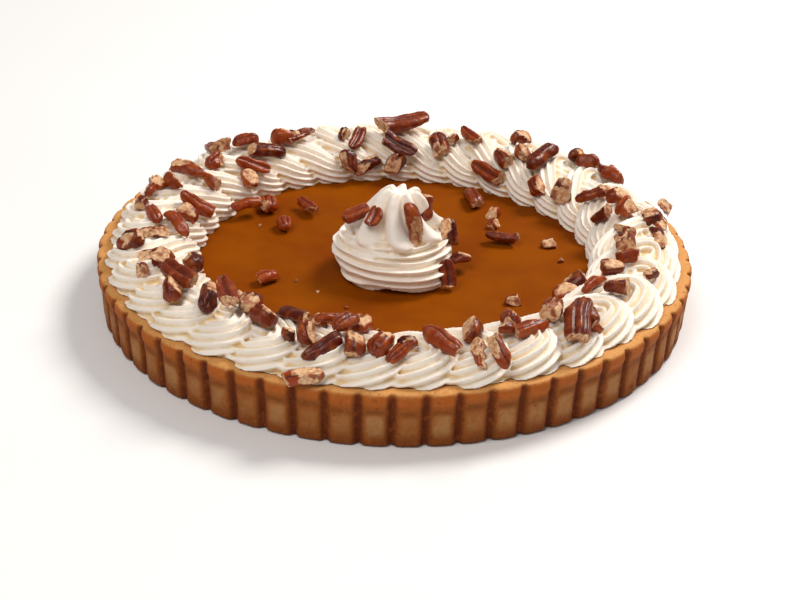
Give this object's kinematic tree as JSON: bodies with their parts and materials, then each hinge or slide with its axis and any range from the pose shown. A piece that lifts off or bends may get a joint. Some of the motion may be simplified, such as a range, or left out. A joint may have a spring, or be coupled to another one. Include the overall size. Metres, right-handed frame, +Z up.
{
  "type": "pie",
  "caption": "Whole fluted pumpkin tart with a piped ring and rosette of whipped cream and scattered pecans.",
  "frame": {"origin": "middle of the crust's flat underside", "axes": "+Z up from the base, -Y towards the side seen in the picture, +X to the viewer's right"},
  "size_m": [0.28, 0.2798, 0.062],
  "materials": {
    "crust": "baked shortcrust, matt and crumbly",
    "filling": "smooth set custard, soft sheen",
    "cream": "whipped cream, soft satin",
    "pecan": "nut skin, slight sheen, pale broken faces"
  },
  "bodies": {
    "root": {"crust": "crust", "filling": "filling", "cream_ring": "cream", "cream_rosette": "cream", "pecan_01": "pecan", "pecan_02": "pecan", "pecan_03": "pecan", "pecan_04": "pecan", "pecan_05": "pecan", "pecan_06": "pecan", "pecan_07": "pecan", "pecan_08": "pecan", "pecan_09": "pecan", "pecan_10": "pecan", "pecan_11": "pecan", "pecan_12": "pecan", "pecan_13": "pecan", "pecan_14": "pecan", "pecan_15": "pecan", "pecan_16": "pecan", "pecan_17": "pecan", "pecan_18": "pecan", "pecan_19": "pecan", "pecan_20": "pecan", "pecan_21": "pecan", "pecan_22": "pecan", "pecan_23": "pecan", "pecan_24": "pecan", "pecan_25": "pecan", "pecan_26": "pecan", "pecan_27": "pecan", "pecan_28": "pecan", "pecan_29": "pecan", "pecan_30": "pecan", "pecan_31": "pecan", "pecan_32": "pecan", "pecan_33": "pecan", "pecan_34": "pecan", "pecan_35": "pecan", "pecan_36": "pecan", "pecan_37": "pecan", "pecan_38": "pecan", "pecan_39": "pecan", "pecan_40": "pecan", "pecan_41": "pecan", "pecan_42": "pecan", "pecan_43": "pecan", "pecan_44": "pecan", "pecan_45": "pecan", "pecan_46": "pecan", "pecan_47": "pecan", "pecan_48": "pecan", "pecan_49": "pecan", "pecan_50": "pecan", "pecan_51": "pecan", "pecan_52": "pecan", "pecan_53": "pecan", "pecan_54": "pecan", "pecan_55": "pecan"}
  },
  "joints": []
}
